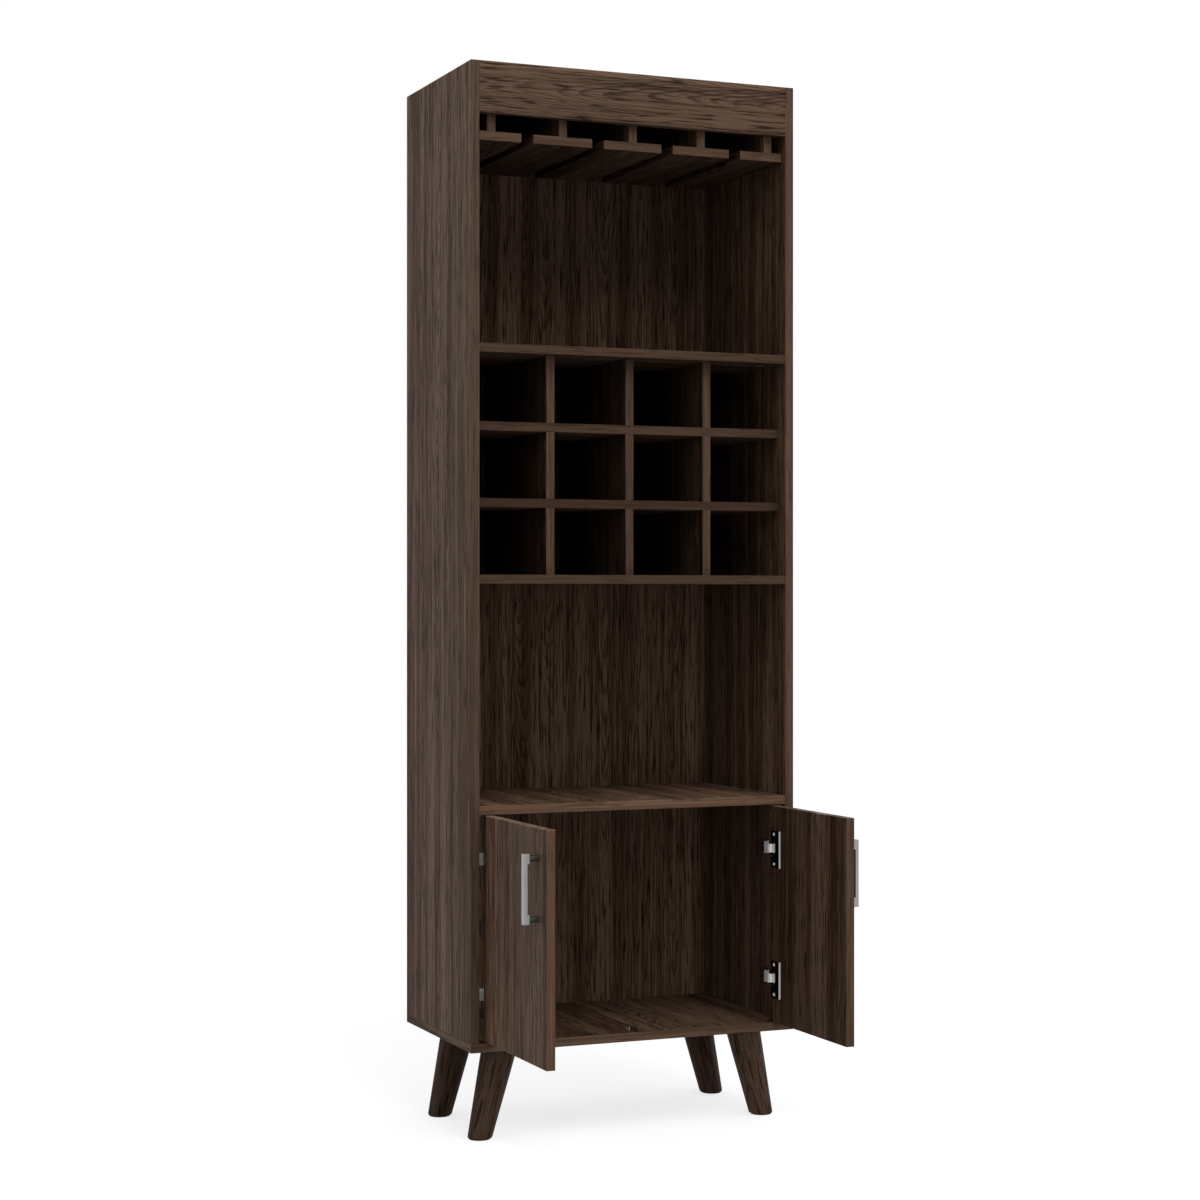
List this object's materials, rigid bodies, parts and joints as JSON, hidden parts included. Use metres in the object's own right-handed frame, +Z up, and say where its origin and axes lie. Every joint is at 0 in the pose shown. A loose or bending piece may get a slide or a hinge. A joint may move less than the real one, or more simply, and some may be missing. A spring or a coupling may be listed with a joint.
{
  "type": "bar armoire",
  "caption": "Tall narrow bar cabinet on splayed tapered legs, with a slotted stemware rack, a crossed wine rack, an open bar shelf and a cupboard with hinged doors.",
  "frame": {"origin": "on the floor, under the middle of the carcass", "axes": "+X to the cabinet's right as seen from the front, +Y to the back, +Z up; both doors stand open at a right angle"},
  "size_m": [0.6, 0.6068, 1.805],
  "materials": {
    "walnut_board": "matte dark walnut laminate with long grain",
    "back_board": "matte dark walnut laminate, upright grain",
    "leg_wood": "satin stained turned wood",
    "dowel_wood": "raw beech",
    "handle_metal": "satin nickel",
    "post_metal": "dark plated",
    "hinge_steel": "bright plated",
    "fixing_steel": "zinc plated",
    "cam_zinc": "die-cast zinc",
    "glide_plastic": "matte black",
    "stop_plastic": "matte dark brown"
  },
  "bodies": {
    "cabinet": {"back_nails": "fixing_steel", "back_panel": "back_board", "bar_shelf": "walnut_board", "base_panel": "walnut_board", "base_screws": "fixing_steel", "cam_bolts": "fixing_steel", "cam_locks": "cam_zinc", "door_stop": "stop_plastic", "dowels": "dowel_wood", "fascia": "walnut_board", "foot_glides": "glide_plastic", "front_left_leg": "leg_wood", "front_right_leg": "leg_wood", "hinge_arm_pins": "hinge_steel", "hinge_plate_screws": "fixing_steel", "left_hinge_arms": "hinge_steel", "left_hinge_plates": "hinge_steel", "left_side_panel": "walnut_board", "leg_bolts": "fixing_steel", "leg_nuts": "fixing_steel", "rack_bottom_shelf": "walnut_board", "rack_divider_centre": "walnut_board", "rack_divider_left": "walnut_board", "rack_divider_right": "walnut_board", "rack_shelf_lower": "walnut_board", "rack_shelf_upper": "walnut_board", "rack_top_shelf": "walnut_board", "rear_left_leg": "leg_wood", "rear_right_leg": "leg_wood", "right_hinge_arms": "hinge_steel", "right_hinge_plates": "hinge_steel", "right_side_panel": "walnut_board", "stem_slat_1": "walnut_board", "stem_slat_2": "walnut_board", "stem_slat_3": "walnut_board", "stem_slat_4": "walnut_board", "stem_slat_5": "walnut_board", "stem_strut_1": "walnut_board", "stem_strut_2": "walnut_board", "stem_strut_3": "walnut_board", "stem_strut_4": "walnut_board", "stem_strut_5": "walnut_board", "stop_screw": "fixing_steel", "top_panel": "walnut_board"},
    "left_link_pair": {"left_hinge_links": "hinge_steel"},
    "left_door_set": {"left_door": "walnut_board", "left_handle": "handle_metal", "left_handle_posts": "post_metal", "left_hinge_cups": "hinge_steel", "left_cup_pins": "hinge_steel", "left_cup_screws": "fixing_steel"},
    "right_link_pair": {"right_hinge_links": "hinge_steel"},
    "right_door_set": {"right_door": "walnut_board", "right_handle": "handle_metal", "right_handle_posts": "post_metal", "right_hinge_cups": "hinge_steel", "right_cup_pins": "hinge_steel", "right_cup_screws": "fixing_steel"}
  },
  "joints": [
    {"name": "left_link_turn", "type": "hinge", "parent": "cabinet", "child": "left_link_pair", "pos_m": [-0.262, -0.15, 0.36], "axis": [0, 0, -1], "range_deg": [-2.2, 46.5]},
    {"name": "left_door_swing", "type": "hinge", "parent": "left_link_pair", "child": "left_door_set", "pos_m": [-0.264, -0.16515, 0.36], "axis": [0, 0, -1], "range_deg": [-136.4, 6]},
    {"name": "right_link_turn", "type": "hinge", "parent": "cabinet", "child": "right_link_pair", "pos_m": [0.262, -0.15, 0.36], "axis": [0, 0, 1], "range_deg": [-2.2, 46.5]},
    {"name": "right_door_swing", "type": "hinge", "parent": "right_link_pair", "child": "right_door_set", "pos_m": [0.264, -0.16515, 0.36], "axis": [0, 0, 1], "range_deg": [-136.4, 6]}
  ],
  "couplings": [
    {"joint": "left_link_turn", "follows": "left_door_swing", "ratio": -0.34018},
    {"joint": "right_link_turn", "follows": "right_door_swing", "ratio": -0.34018}
  ]
}
